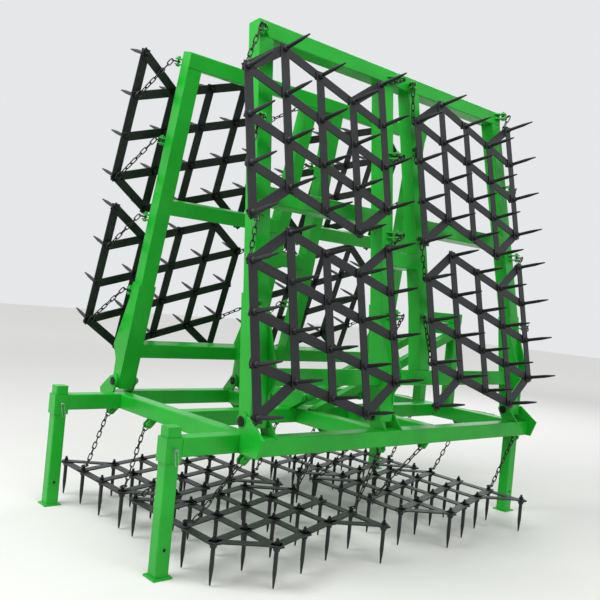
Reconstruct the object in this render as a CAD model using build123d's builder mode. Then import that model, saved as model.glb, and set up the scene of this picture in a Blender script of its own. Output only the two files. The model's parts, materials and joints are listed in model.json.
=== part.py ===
from build123d import *
import math
import os

# Grassland harrow, 6.4 m working width, with both wings folded up and its four legs down.
# Millimetres. +Y points forwards to the tractor, +X to the right, +Z up, and the floor is z = 0.
# Lengthways places are measured from the station of the rearmost hinges, and shifted at the end.

TUBE = 100
TUBE_CORNER = 8
FRAME_WIDTH = 1746
FRAME_REAR = -54
FRAME_FRONT = 2523
FRAME_TOP = 720
CROSS_BEAM_CENTRES = {"rear": -4, "middle": 982, "third": 1490, "front": 2473}

HINGE_X = 748
HINGE_RISE = 75
PIN_RADIUS = 20
PIN_CLEARANCE = 0.3
PIN_OUT = 6
EAR_THICK = 12
EAR_BOSS = 46
EAR_FOOT = 130
EAR_GAP = 4

LEAN_RIGHT = 6.9
LEAN_LEFT = 13.6
WING_REACH = 2250
POST_FOOT = -40
LOW_BEAM = 237
LINK_BEAM = 1000
MID_BEAM = 1250
GUSSET_HEIGHT = 700
GUSSET_HEEL = 590

SECTION_BARS = 5
BAR_TINES = 4
TINE_PITCH = 270
BAR_PITCH = 265
FLAT_WIDE = 50
FLAT_THICK = 8
TINE_SIDE = 16
TINE_POINT = 5
TINE_REACH = 210
TINE_STUB = 26
TINE_STRAIGHT = 70
TIP_CLEARANCE = 5
SECTION_TILT = 4.7

LUG_PLATE = 8
LUG_WIDE = 36
LUG_MOUTH = 26
LUG_REACH = 50
LUG_SHIFT = 18
BOLT_RADIUS = 8
LINK_STOCK = 8
LINK_INSIDE = 14
SHACKLE_INSIDE = 25
SHACKLE_LENGTH = 48
LINK_GAP = 0.8
LONGEST_LINK = 130
CHAIN_DROP = 75

ARM_X = 693
LEG_SIDE = 80
SLEEVE_SIDE = 94
SLEEVE_HEIGHT = 128
LEG_ABOVE = 55
LEG_GAP = 1
SLEEVE_PLATE = 16
FOOT_SIDE = 110
FOOT_THICK = 10
REAR_LEG_Y = -466

CYLINDER_Y = 901
CYLINDER_BASE_X = 170
CYLINDER_BASE_RISE = 95
CYLINDER_PIN = 15
BARREL_RADIUS = 35
BARREL_START = 44
BARREL_LENGTH = 345
BARREL_WALL = 12
ROD_RADIUS = 16
EYE_RADIUS = 26
EYE_WIDE = 30
EYE_REACH = 254
EYE_OFFSET = 112
BRACKET_GAP = 38

MAST_X = 150
MAST_TOP = 1395
MAST_TUBE = 80
TOP_BORE = 12.75
TOP_PIN_HEIGHT = 1345
TOP_PIN_REACH = 100
LOWER_BORE = 14.3
LOWER_PIN_X = 412.5
LOWER_PIN_HEIGHT = 660
HITCH_REACH = 160
HITCH_PLATE = 15
HITCH_GAP = 65

FRAME_BOTTOM = FRAME_TOP - TUBE
BAR_X = (FRAME_WIDTH - TUBE) / 2
HINGE_Z = FRAME_TOP + HINGE_RISE
REAR_REACH = -(REAR_LEG_Y - FOOT_SIDE / 2)
HITCH_Y = FRAME_FRONT + HITCH_REACH
FRONT_LEG_Y = FRAME_FRONT + SLEEVE_PLATE + SLEEVE_SIDE / 2
HITCH_END = 40
DATUM_Y = (REAR_REACH - (HITCH_Y + HITCH_END)) / 2
BAR_HEIGHT = TIP_CLEARANCE + TINE_REACH + FLAT_THICK / 2
STUB_TOP = FLAT_THICK * 1.5 + TINE_STUB
SHACKLE_HEIGHT = STUB_TOP - LINK_STOCK / 2
SECTION_REACH = TINE_PITCH * (BAR_TINES - 1)
SIDES = {"right": 1, "left": -1}
LEANS = {"right": LEAN_RIGHT, "left": LEAN_LEFT}

LUG_SLANT = math.sqrt(0.5)

machine = Plane(origin=(0, DATUM_Y, 0))

# Wing posts: name, y at the foot, y at the top, foot along the wing, bend, direction of its lugs.
POST_COLUMNS = ("name", "foot_y", "top_y", "foot", "bend", "lugs", "hinged")
POSTS = [
    dict(zip(POST_COLUMNS, row))
    for row in [
        ("rear", 12, 12, POST_FOOT, GUSSET_HEIGHT, -1, True),
        ("second", 1028, 1028, POST_FOOT, GUSSET_HEIGHT, 1, True),
        ("third", 1400, 1285, LOW_BEAM + TUBE / 2, GUSSET_HEIGHT, -1, False),
        ("front", 2457, 2240, POST_FOOT, GUSSET_HEIGHT, 1, True),
    ]
]
LUG_STATIONS = {
    "rear": [630, 1147, 1665, 2180],
    "second": [630, 1147, 1665, 2180],
    "third": [630, 1147, 1740, 2180],
    "front": [630, 1147, 1665, 2215],
}

# Sections of a folded wing: name, y of the first bar, reach of its top tine, distance out there.
WING_SECTIONS = {
    "right": [
        ("rear_inner", -170, 845, 203),
        ("rear_outer", -175, 1905, 134),
        ("front_inner", 1255, 875, 203),
        ("front_outer", 1225, 1922, 134),
    ],
    "left": [
        ("rear_inner", -215, 1160, 192),
        ("rear_outer", -250, 2170, 146),
        ("front_inner", 1195, 1160, 192),
        ("front_outer", 1160, 2170, 146),
    ],
}
# Sections under the frame: name, x of the first tine, y of the first bar.
CENTRE_SECTIONS = [
    ("rear_left", -875, -295),
    ("rear_right", 103, -295),
    ("front_left", -875, 1115),
    ("front_right", 103, 1115),
]
CENTRE_LUG_X = [-770, -250, 250, 770]
# Lugs under the frame: y where they are welded, the way they point.
CENTRE_LUG_ROWS = [(-20, -1), (998, 1), (1474, -1), (2489, 1)]
# How far along, in tine pitches, each bar of a section stands, and its links to the next bar.
STAGGER = [0, 2 / 3, 1 / 3, 0, 2 / 3]
RISING = [(1, 2), (2, 3), (3, 4), (1, 1), (4, 4)]
LEVEL = [(1, 1), (2, 2), (3, 3), (4, 4)]
SECTION_LINKS = [RISING, LEVEL, LEVEL, RISING]


def wing_frame(side):
    """A wing's own frame at its hinge: x and z as they lie when the wing is level."""
    sign = SIDES[side]
    turn = math.radians(90 + LEANS[side])
    return Plane(
        origin=machine.from_local_coords((sign * HINGE_X, 0, HINGE_Z)),
        x_dir=(math.cos(turn), 0, sign * math.sin(turn)),
        z_dir=(-sign * math.sin(turn), 0, math.cos(turn)),
    )


def section_frame(frame, first, slope):
    """The frame of a harrow section at its first tine, tilted about its bars' own row."""
    base = Plane(origin=frame.from_local_coords(first), x_dir=frame.x_dir, z_dir=frame.z_dir)
    return base.rotated((0, slope, 0))


def direction(frame, vector):
    """A vector of a body's frame, turned into the machine's axes."""
    return frame.from_local_coords(vector) - frame.origin


def bar(frame, start, end, wide, deep, across, corner=0.0):
    """A straight bar between two points of a frame, its width lying along `across`."""
    foot = frame.from_local_coords(start)
    run = frame.from_local_coords(end) - foot
    side = direction(frame, across)
    side = side - run.normalized() * side.dot(run.normalized())
    with BuildSketch(Plane(origin=foot, x_dir=side, z_dir=run)) as profile:
        if corner:
            RectangleRounded(wide, deep, corner)
        else:
            Rectangle(wide, deep)
    extrude(profile.sketch, amount=run.length)


def rod(frame, centre, axis, radius, length, mode=Mode.ADD):
    """A round bar centred on a point of a frame."""
    middle = frame.from_local_coords(centre)
    with BuildSketch(Plane(origin=middle, z_dir=direction(frame, axis))) as profile:
        Circle(radius)
    extrude(profile.sketch, amount=length / 2, both=True, mode=mode)


def across_plane(frame, y):
    """A sketch plane across a frame at y: its x is the frame's x and its y the frame's z."""
    origin = frame.from_local_coords((0, y, 0))
    return Plane(origin=origin, x_dir=frame.x_dir, z_dir=-direction(frame, (0, 1, 0)))


def tine_place(frame, row, tine, height):
    """A point on a tine of a section, in the machine's axes."""
    x = TINE_PITCH * (STAGGER[row] + tine)
    return frame.from_local_coords((x, BAR_PITCH * row, height))


def lug_place(frame, root, way):
    """The frame of a lug at its root: x runs out of the post at 45 degrees, z along the bolt."""
    out = direction(frame, (0, way * LUG_SLANT, -LUG_SLANT))
    return Plane(origin=frame.from_local_coords(root), x_dir=out, z_dir=direction(frame, (way, 0, 0)))


def chain_link(middle, along, normal, inside, across=LINK_INSIDE):
    """One open chain link of square stock."""
    normal = normal - along * normal.dot(along)
    with BuildPart(mode=Mode.PRIVATE) as link:
        with BuildSketch(Plane(origin=middle, x_dir=along, z_dir=normal)) as ring:
            Rectangle(inside + 2 * LINK_STOCK, across + 2 * LINK_STOCK)
            Rectangle(inside, across, mode=Mode.SUBTRACT)
        extrude(ring.sketch, amount=LINK_STOCK / 2, both=True)
    return link.part


def shackle(place, seat, toward, normal):
    """A wide link round a bolt or stub; gives the link and the middle of its far end."""
    toward = (toward - normal * toward.dot(normal)).normalized()
    link = chain_link(place + toward * (SHACKLE_LENGTH / 2 - seat), toward, normal,
                      SHACKLE_LENGTH, SHACKLE_INSIDE)
    return link, place + toward * (SHACKLE_LENGTH - seat + LINK_STOCK / 2)


def stub_seat(frame, toward):
    """How far a square stub reaches from its middle towards a shackle's end."""
    toward = toward.normalized()
    return TINE_SIDE / 2 * (abs(toward.dot(frame.x_dir)) + abs(toward.dot(frame.y_dir)))


def chain(place, way, frame, stub):
    """A taut chain from a lug's bolt to a tine's stub: a shackle at each end, links between."""
    bolt = place.from_local_coords((LUG_REACH, 0, 0))
    first, start = shackle(bolt, BOLT_RADIUS + LINK_GAP, way, place.z_dir)
    toward = start - stub
    toward = toward - frame.z_dir * toward.dot(frame.z_dir)
    last, end = shackle(stub, stub_seat(frame, toward), toward, frame.z_dir)
    run = end - start
    hook = LINK_STOCK * 0.75
    count = 1 if run.length < LONGEST_LINK else 2
    inside = (run.length + 2 * hook + (count + 1) * LINK_GAP) / count
    along = run.normalized()
    middle = start + along * (inside / 2 - hook - LINK_GAP)
    flat_way = place.y_dir - along * place.y_dir.dot(along)
    links = [
        chain_link(middle + along * number * (inside - LINK_GAP), along,
                   along.cross(flat_way) if number else flat_way, inside)
        for number in range(count)
    ]
    return [first, *links, last]


def post_centre(post, station):
    """Where a post's centre line is, along the machine, at a station along the wing."""
    if station <= post["bend"]:
        return post["foot_y"]
    share = (station - post["bend"]) / (WING_REACH - TUBE - post["bend"])
    return post["foot_y"] + (post["top_y"] - post["foot_y"]) * share


# One tine, one harrow section and one lug, each made once in its own frame and then placed
half_flat = FLAT_THICK / 2
with BuildPart() as tine:
    with BuildSketch(Plane.XY.offset(-half_flat - TINE_STRAIGHT)):
        Rectangle(TINE_SIDE, TINE_SIDE)
    extrude(amount=STUB_TOP + half_flat + TINE_STRAIGHT)
    with BuildSketch(Plane.XY.offset(-half_flat - TINE_STRAIGHT)):
        Rectangle(TINE_SIDE, TINE_SIDE)
    with BuildSketch(Plane.XY.offset(-half_flat - TINE_REACH)):
        Rectangle(TINE_POINT, TINE_POINT)
    loft()

with BuildPart() as harrow_section:
    rows = [(TINE_PITCH * shift, BAR_PITCH * number) for number, shift in enumerate(STAGGER)]
    with BuildSketch(Plane.XY.offset(-half_flat)) as bars:
        for x, y in rows:
            with Locations((x + SECTION_REACH / 2, y)):
                Rectangle(SECTION_REACH + FLAT_WIDE, FLAT_WIDE)
    extrude(amount=FLAT_THICK)
    with BuildSketch(Plane.XY.offset(half_flat)) as linking_flats:
        for number, links in enumerate(SECTION_LINKS):
            for near, far in links:
                x0, y0 = rows[number]
                x1, y1 = rows[number + 1]
                run = Vector(x1 - x0 + TINE_PITCH * (far - near), y1 - y0)
                middle = (x0 + TINE_PITCH * (near - 1) + run.X / 2, y0 + run.Y / 2)
                with Locations(Location((*middle, 0), (0, 0, math.degrees(math.atan2(run.Y, run.X))))):
                    Rectangle(run.length + FLAT_WIDE, FLAT_WIDE)
    extrude(amount=FLAT_THICK)
    with Locations([(x + number * TINE_PITCH, y) for x, y in rows for number in range(BAR_TINES)]):
        add(tine.part)

with BuildPart() as chain_lug:
    for way in (-1, 1):
        face = Plane.XY.offset(way * (LUG_MOUTH + LUG_PLATE) / 2)
        with BuildSketch(face) as cheek:
            with BuildLine():
                Polyline(
                    (LUG_REACH, LUG_WIDE / 2),
                    (LUG_WIDE / 2, LUG_WIDE / 2),
                    (-LUG_WIDE / 2, -LUG_WIDE / 2),
                    (LUG_REACH, -LUG_WIDE / 2),
                )
                ThreePointArc(
                    (LUG_REACH, -LUG_WIDE / 2),
                    (LUG_REACH + LUG_WIDE / 2, 0),
                    (LUG_REACH, LUG_WIDE / 2),
                )
            make_face()
        extrude(amount=LUG_PLATE / 2, both=True)
    with BuildSketch():
        with Locations((LUG_REACH, 0)):
            Circle(BOLT_RADIUS)
    extrude(amount=LUG_MOUTH / 2 + LUG_PLATE + 6, both=True)

# Centre frame: two side bars, four cross-beams between them and a spine along the middle
side_bars = {}
for side, sign in SIDES.items():
    with BuildPart() as side_bar:
        bar(machine, (sign * BAR_X, FRAME_REAR, FRAME_TOP - TUBE / 2),
            (sign * BAR_X, FRAME_FRONT, FRAME_TOP - TUBE / 2), TUBE, TUBE, (1, 0, 0), TUBE_CORNER)
    side_bars[side] = side_bar

inner_width = FRAME_WIDTH - 2 * TUBE
cross_beams = {}
for name, y in CROSS_BEAM_CENTRES.items():
    with BuildPart() as cross_beam:
        bar(machine, (-inner_width / 2, y, FRAME_TOP - TUBE / 2),
            (inner_width / 2, y, FRAME_TOP - TUBE / 2), TUBE, TUBE, (0, 1, 0), TUBE_CORNER)
    cross_beams[name] = cross_beam

with BuildPart() as centre_spine:
    spine_ends = list(CROSS_BEAM_CENTRES.values())
    for y0, y1 in zip(spine_ends, spine_ends[1:]):
        bar(machine, (0, y0 + TUBE / 2, FRAME_TOP - TUBE / 2),
            (0, y1 - TUBE / 2, FRAME_TOP - TUBE / 2), TUBE, TUBE, (1, 0, 0), TUBE_CORNER)

with BuildPart() as rear_arms:
    for sign in SIDES.values():
        bar(machine, (sign * ARM_X, FRAME_REAR, FRAME_TOP - TUBE / 2),
            (sign * ARM_X, REAR_LEG_Y + SLEEVE_SIDE / 2, FRAME_TOP - TUBE / 2),
            TUBE, TUBE, (1, 0, 0), TUBE_CORNER)

# Legs slide in short square sleeves, at the rear arms' ends and before the front cross-beam
LEG_PLACES = {
    "rear_right": (ARM_X, REAR_LEG_Y),
    "rear_left": (-ARM_X, REAR_LEG_Y),
    "front_right": (ARM_X, FRONT_LEG_Y),
    "front_left": (-ARM_X, FRONT_LEG_Y),
}
with BuildPart() as leg_sleeves:
    for x, y in LEG_PLACES.values():
        if y > FRAME_FRONT:
            with Locations(machine.from_local_coords(
                    (x, FRAME_FRONT + SLEEVE_PLATE / 2, FRAME_TOP - SLEEVE_HEIGHT / 2))):
                Box(SLEEVE_SIDE, SLEEVE_PLATE, SLEEVE_HEIGHT)
        bar(machine, (x, y, FRAME_TOP - SLEEVE_HEIGHT), (x, y, FRAME_TOP),
            SLEEVE_SIDE, SLEEVE_SIDE, (1, 0, 0))
        hole = LEG_SIDE + 2 * LEG_GAP
        with Locations(machine.from_local_coords((x, y, FRAME_TOP - SLEEVE_HEIGHT / 2))):
            Box(hole, hole, SLEEVE_HEIGHT, mode=Mode.SUBTRACT)

legs = {}
for name, (x, y) in LEG_PLACES.items():
    with BuildPart() as leg:
        bar(machine, (x, y, FOOT_THICK), (x, y, FRAME_TOP + LEG_ABOVE),
            LEG_SIDE, LEG_SIDE, (1, 0, 0), TUBE_CORNER)
        with Locations(machine.from_local_coords((x, y, FOOT_THICK / 2))):
            Box(FOOT_SIDE, FOOT_SIDE, FOOT_THICK)
    legs[name] = leg

# Hinges: a pair of ears and a pin at each of the three hinged posts of a wing
hinge_posts = [post for post in POSTS if post["hinged"]]
ear_reach = TUBE / 2 + EAR_THICK + EAR_GAP + EAR_THICK
ears = {}
for side, sign in SIDES.items():
    with BuildPart() as hinge_ears:
        for post in hinge_posts:
            for y in (post["foot_y"] + ear_reach, post["foot_y"] - ear_reach + EAR_THICK):
                with BuildSketch(across_plane(machine, y)):
                    outer = sign * FRAME_WIDTH / 2
                    foot = outer - sign * EAR_FOOT
                    with BuildLine():
                        Polyline(
                            (sign * (HINGE_X - EAR_BOSS), HINGE_Z),
                            (foot, FRAME_TOP),
                            (foot, FRAME_BOTTOM),
                            (outer - sign * TUBE / 2, FRAME_BOTTOM),
                            (outer - sign * TUBE / 2, FRAME_TOP - TUBE / 2),
                            (outer, FRAME_TOP - TUBE / 2),
                            (outer, FRAME_TOP),
                            (sign * (HINGE_X + EAR_BOSS * 0.64), HINGE_Z + EAR_BOSS * 0.768),
                        )
                        ThreePointArc(
                            (sign * (HINGE_X + EAR_BOSS * 0.64), HINGE_Z + EAR_BOSS * 0.768),
                            (sign * (HINGE_X - EAR_BOSS * 0.384), HINGE_Z + EAR_BOSS * 0.923),
                            (sign * (HINGE_X - EAR_BOSS), HINGE_Z),
                        )
                    make_face()
                    with Locations((sign * HINGE_X, HINGE_Z)):
                        Circle(PIN_RADIUS, mode=Mode.SUBTRACT)
                extrude(amount=EAR_THICK)
        add(side_bars[side].part, mode=Mode.SUBTRACT)
        for cross_beam in cross_beams.values():
            add(cross_beam.part, mode=Mode.SUBTRACT)
    ears[side] = hinge_ears

with BuildPart() as hinge_pins:
    for sign in SIDES.values():
        for post in hinge_posts:
            rod(machine, (sign * HINGE_X, post["foot_y"], HINGE_Z), (0, 1, 0),
                PIN_RADIUS, 2 * (ear_reach + PIN_OUT))

# Lugs under the frame, and the harrow sections that hang from them
centre_lug_places = {
    (x, number): lug_place(machine, (x, y, FRAME_BOTTOM), way)
    for number, (y, way) in enumerate(CENTRE_LUG_ROWS)
    for x in CENTRE_LUG_X
}
with BuildPart() as centre_lugs:
    add([place.location * chain_lug.part for place in centre_lug_places.values()])

centre_frames = {}
centre_sections = {}
for name, x, y in CENTRE_SECTIONS:
    centre_frames[name] = section_frame(machine, (x, y, BAR_HEIGHT), 0)
    with BuildPart() as centre_section:
        add(centre_frames[name].location * harrow_section.part)
    centre_sections[name] = centre_section

# Folding cylinders: base bracket on the frame, barrel, rod and the wing's bracket
base_height = FRAME_TOP + CYLINDER_BASE_RISE
bracket_reach = BRACKET_GAP / 2 + EAR_THICK
with BuildPart() as cylinder_brackets:
    for y in (CYLINDER_Y + bracket_reach, CYLINDER_Y - bracket_reach + EAR_THICK):
        with BuildSketch(across_plane(machine, y)):
            with BuildLine():
                Polyline(
                    (-CYLINDER_BASE_X, base_height + EYE_RADIUS),
                    (CYLINDER_BASE_X, base_height + EYE_RADIUS),
                )
                ThreePointArc(
                    (CYLINDER_BASE_X, base_height + EYE_RADIUS),
                    (CYLINDER_BASE_X + EYE_RADIUS, base_height),
                    (CYLINDER_BASE_X, base_height - EYE_RADIUS),
                )
                Polyline(
                    (CYLINDER_BASE_X, base_height - EYE_RADIUS),
                    (TUBE / 2, FRAME_TOP),
                    (-TUBE / 2, FRAME_TOP),
                    (-CYLINDER_BASE_X, base_height - EYE_RADIUS),
                )
                ThreePointArc(
                    (-CYLINDER_BASE_X, base_height - EYE_RADIUS),
                    (-CYLINDER_BASE_X - EYE_RADIUS, base_height),
                    (-CYLINDER_BASE_X, base_height + EYE_RADIUS),
                )
            make_face()
        extrude(amount=EAR_THICK)
    for sign in SIDES.values():
        rod(machine, (sign * CYLINDER_BASE_X, CYLINDER_Y, base_height), (0, 1, 0),
            CYLINDER_PIN, 2 * bracket_reach + 20)

barrels = {}
rods = {}
for side, sign in SIDES.items():
    wing = wing_frame(side)
    base = machine.from_local_coords((sign * CYLINDER_BASE_X, CYLINDER_Y, base_height))
    eye = wing.from_local_coords((sign * EYE_REACH, CYLINDER_Y, EYE_OFFSET))
    run = (eye - base).normalized()
    line = Plane(origin=base, x_dir=run, z_dir=(0, 1, 0))
    with BuildPart() as barrel:
        rod(line, (0, 0, 0), (0, 0, 1), EYE_RADIUS, EYE_WIDE)
        bar(line, (EYE_RADIUS / 2, 0, 0), (BARREL_START, 0, 0), EYE_WIDE, EYE_WIDE, (0, 0, 1))
        rod(line, (BARREL_START + BARREL_LENGTH / 2, 0, 0), (1, 0, 0), BARREL_RADIUS, BARREL_LENGTH)
        rod(line, (0, 0, 0), (0, 0, 1), CYLINDER_PIN + PIN_CLEARANCE, EYE_WIDE, Mode.SUBTRACT)
        rod(line, (BARREL_START + BARREL_LENGTH / 2 + BARREL_WALL, 0, 0), (1, 0, 0),
            ROD_RADIUS + PIN_CLEARANCE, BARREL_LENGTH, Mode.SUBTRACT)
    barrels[side] = barrel
    reach = (eye - base).length
    with BuildPart() as piston_rod:
        rod(line, (reach, 0, 0), (0, 0, 1), EYE_RADIUS, EYE_WIDE)
        inner_end = BARREL_START + 2 * BARREL_WALL
        rod(line, ((reach + inner_end) / 2, 0, 0), (1, 0, 0), ROD_RADIUS, reach - inner_end)
        rod(line, (reach, 0, 0), (0, 0, 1), CYLINDER_PIN + PIN_CLEARANCE, EYE_WIDE, Mode.SUBTRACT)
    rods[side] = piston_rod

# Three-point hitch: a mast over the front cross-beam, braces back to the middle one, bored plates
with BuildPart() as mast:
    for sign in SIDES.values():
        bar(machine, (sign * MAST_X, CROSS_BEAM_CENTRES["front"], FRAME_TOP),
            (sign * MAST_X, CROSS_BEAM_CENTRES["front"], MAST_TOP),
            MAST_TUBE, MAST_TUBE, (1, 0, 0), TUBE_CORNER)
with BuildPart() as mast_crossbar:
    mast_y = CROSS_BEAM_CENTRES["front"]
    bar(machine, (-MAST_X - MAST_TUBE / 2, mast_y, MAST_TOP + MAST_TUBE / 2),
        (MAST_X + MAST_TUBE / 2, mast_y, MAST_TOP + MAST_TUBE / 2),
        MAST_TUBE, MAST_TUBE, (0, 1, 0), TUBE_CORNER)
with BuildPart() as mast_braces:
    for sign in SIDES.values():
        bar(machine, (sign * MAST_X, mast_y, MAST_TOP - MAST_TUBE),
            (sign * MAST_X, CROSS_BEAM_CENTRES["middle"], FRAME_TOP - 20),
            MAST_TUBE * 0.75, MAST_TUBE * 0.75, (1, 0, 0))
    add(mast.part, mode=Mode.SUBTRACT)
    add(cross_beams["middle"].part, mode=Mode.SUBTRACT)
    with Locations(machine.from_local_coords((0, mast_y + MAST_TUBE, MAST_TOP))):
        Box(4 * MAST_X, MAST_TUBE, MAST_TOP, mode=Mode.SUBTRACT)

with BuildPart() as top_link_bracket:
    for way in (-1, 1):
        x = way * (HITCH_GAP + HITCH_PLATE) / 2
        with Locations(machine.from_local_coords((x, mast_y + MAST_TUBE / 2 + 70, TOP_PIN_HEIGHT))):
            Box(HITCH_PLATE, 140, 90)
    with Locations(machine.from_local_coords((0, mast_y + MAST_TUBE / 2 - 10, TOP_PIN_HEIGHT))):
        Box(2 * MAST_X - MAST_TUBE, 20, 90)
    rod(machine, (0, mast_y + MAST_TUBE / 2 + TOP_PIN_REACH, TOP_PIN_HEIGHT), (1, 0, 0),
        TOP_BORE, HITCH_GAP + 2 * HITCH_PLATE, Mode.SUBTRACT)

with BuildPart() as lower_link_brackets:
    for sign in SIDES.values():
        for way in (-1, 1):
            x = sign * LOWER_PIN_X + way * (HITCH_GAP + HITCH_PLATE) / 2
            with BuildSketch(Plane(origin=machine.from_local_coords((x, 0, 0)),
                                   x_dir=(0, 1, 0), z_dir=(1, 0, 0))):
                with BuildLine():
                    Polyline(
                        (FRAME_FRONT, FRAME_TOP),
                        (FRAME_FRONT, FRAME_BOTTOM),
                        (HITCH_Y, LOWER_PIN_HEIGHT - HITCH_END),
                    )
                    ThreePointArc(
                        (HITCH_Y, LOWER_PIN_HEIGHT - HITCH_END),
                        (HITCH_Y + HITCH_END, LOWER_PIN_HEIGHT),
                        (HITCH_Y, LOWER_PIN_HEIGHT + HITCH_END),
                    )
                    Line((HITCH_Y, LOWER_PIN_HEIGHT + HITCH_END), (FRAME_FRONT, FRAME_TOP))
                make_face()
            extrude(amount=HITCH_PLATE / 2, both=True)
        rod(machine, (sign * LOWER_PIN_X, HITCH_Y, LOWER_PIN_HEIGHT), (1, 0, 0),
            LOWER_BORE, HITCH_GAP + 2 * HITCH_PLATE, Mode.SUBTRACT)

# Chains under the frame, from each lug to the nearest stub of its section's end bar
centre_links = []
for name, _, _ in CENTRE_SECTIONS:
    frame = centre_frames[name]
    lug_columns = CENTRE_LUG_X[2:] if name.endswith("right") else CENTRE_LUG_X[:2]
    for row, far in ((0, 0), (SECTION_BARS - 1, 1)):
        lug_row = far + (0 if name.startswith("rear") else 2)
        for x in lug_columns:
            place = centre_lug_places[x, lug_row]
            stubs = [tine_place(frame, row, number, SHACKLE_HEIGHT) for number in range(BAR_TINES)]
            stub = min(stubs, key=lambda point: abs(point.X) + 2 * abs(abs(point.X) - abs(x)))
            centre_links += chain(place, stub - place.origin, frame, stub)
with BuildPart() as centre_chains:
    add(centre_links)

# Wings: four posts, beams between them, gussets at the hinges, lugs, sections and chains
wings = {}
for side, sign in SIDES.items():
    wing = wing_frame(side)
    top = WING_REACH - TUBE
    bodies = {}
    with BuildPart() as wing_posts:
        for post in POSTS:
            with BuildSketch(wing.offset(-TUBE / 2)):
                half = TUBE / 2
                with BuildLine():
                    Polyline(
                        (sign * post["foot"], post["foot_y"] - half),
                        (sign * post["bend"], post["foot_y"] - half),
                        (sign * top, post["top_y"] - half),
                        (sign * top, post["top_y"] + half),
                        (sign * post["bend"], post["foot_y"] + half),
                        (sign * post["foot"], post["foot_y"] + half),
                        close=True,
                    )
                make_face()
            extrude(amount=TUBE)
        for post in hinge_posts:
            rod(wing, (0, post["foot_y"], 0), (0, 1, 0), PIN_RADIUS + PIN_CLEARANCE,
                2 * TUBE, Mode.SUBTRACT)
    bodies["posts"] = wing_posts
    rear, second, third, front = POSTS
    with BuildPart() as wing_top_beam:
        bar(wing, (sign * (top + TUBE / 2), rear["top_y"] - TUBE / 2, 0),
            (sign * (top + TUBE / 2), front["top_y"] + TUBE / 2, 0),
            TUBE, TUBE, (1, 0, 0), TUBE_CORNER)
    bodies["top_beam"] = wing_top_beam
    beam_rows = [
        ("low_beam", LOW_BEAM, rear, front),
        ("rear_mid_beam", MID_BEAM, rear, second),
        ("link_beam", LINK_BEAM, second, third),
        ("front_mid_beam", MID_BEAM, third, front),
    ]
    for name, station, start, end in beam_rows:
        with BuildPart() as wing_beam:
            bar(wing, (sign * station, post_centre(start, station), 0),
                (sign * station, post_centre(end, station), 0), TUBE, TUBE, (1, 0, 0), TUBE_CORNER)
            add(wing_posts.part, mode=Mode.SUBTRACT)
        bodies[name] = wing_beam
    with BuildPart() as wing_gussets:
        for post in hinge_posts:
            for y in (post["foot_y"] - TUBE / 2, post["foot_y"] + TUBE / 2 + EAR_THICK):
                with BuildSketch(across_plane(wing, y)):
                    with BuildLine():
                        Polyline(
                            (0, -EAR_BOSS),
                            (sign * 140, -64),
                            (sign * 225, -135),
                            (sign * GUSSET_HEEL, -TUBE / 2),
                            (sign * GUSSET_HEIGHT, -TUBE / 2),
                            (sign * GUSSET_HEIGHT, TUBE / 2),
                            (sign * 60, TUBE / 2),
                            (0, EAR_BOSS),
                        )
                        ThreePointArc((0, EAR_BOSS), (-sign * EAR_BOSS, 0), (0, -EAR_BOSS))
                    make_face()
                    Circle(PIN_RADIUS + PIN_CLEARANCE, mode=Mode.SUBTRACT)
                extrude(amount=EAR_THICK)
        add(bodies["low_beam"].part, mode=Mode.SUBTRACT)
    bodies["gussets"] = wing_gussets
    with BuildPart() as cylinder_eye_bracket:
        for y in (CYLINDER_Y + bracket_reach, CYLINDER_Y - bracket_reach + EAR_THICK):
            with BuildSketch(across_plane(wing, y)):
                with BuildLine():
                    Polyline(
                        (sign * (LOW_BEAM - TUBE / 2), TUBE / 2),
                        (sign * (LOW_BEAM + TUBE / 2), TUBE / 2),
                        (sign * (EYE_REACH + 30), EYE_OFFSET + 30),
                        (sign * (EYE_REACH - 30), EYE_OFFSET + 30),
                        close=True,
                    )
                make_face()
                with Locations((sign * EYE_REACH, EYE_OFFSET)):
                    Circle(CYLINDER_PIN, mode=Mode.SUBTRACT)
            extrude(amount=EAR_THICK)
    bodies["cylinder_bracket"] = cylinder_eye_bracket
    lug_places = {
        (post["name"], station): lug_place(
            wing, (sign * station, post_centre(post, station) + post["lugs"] * LUG_SHIFT, -TUBE / 2),
            post["lugs"])
        for post in POSTS
        for station in LUG_STATIONS[post["name"]]
    }
    with BuildPart() as wing_lugs:
        add([place.location * chain_lug.part for place in lug_places.values()])
    bodies["lugs"] = wing_lugs
    frames = {}
    for name, y, top_tine, out in WING_SECTIONS[side]:
        drop_out = SECTION_REACH * math.tan(math.radians(SECTION_TILT))
        if sign > 0:
            first = (top_tine - SECTION_REACH, y, -out - drop_out)
        else:
            first = (-top_tine, y, -out)
        frames[name] = section_frame(wing, first, -sign * SECTION_TILT)
        with BuildPart() as wing_section:
            add(frames[name].location * harrow_section.part)
        bodies["section_" + name] = wing_section
    links = []
    for post, key in zip(POSTS, ("rear", "rear", "front", "front")):
        row = 0 if post["lugs"] < 0 else SECTION_BARS - 1
        for station in LUG_STATIONS[post["name"]]:
            name = key + ("_inner" if station < MID_BEAM else "_outer")
            top_tine = next(row_[2] for row_ in WING_SECTIONS[side] if row_[0] == name)
            shift = sign * STAGGER[row] * TINE_PITCH
            stations = [top_tine + shift - TINE_PITCH * number for number in range(BAR_TINES)]
            number = next(n for n, place in enumerate(stations) if place <= station - CHAIN_DROP)
            tine_number = BAR_TINES - 1 - number if sign > 0 else number
            stub = tine_place(frames[name], row, tine_number, SHACKLE_HEIGHT)
            place = lug_places[post["name"], station]
            links += chain(place, place.x_dir, frames[name], stub)
    with BuildPart() as wing_chains:
        add(links)
    bodies["chains"] = wing_chains
    wings[side] = bodies

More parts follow.
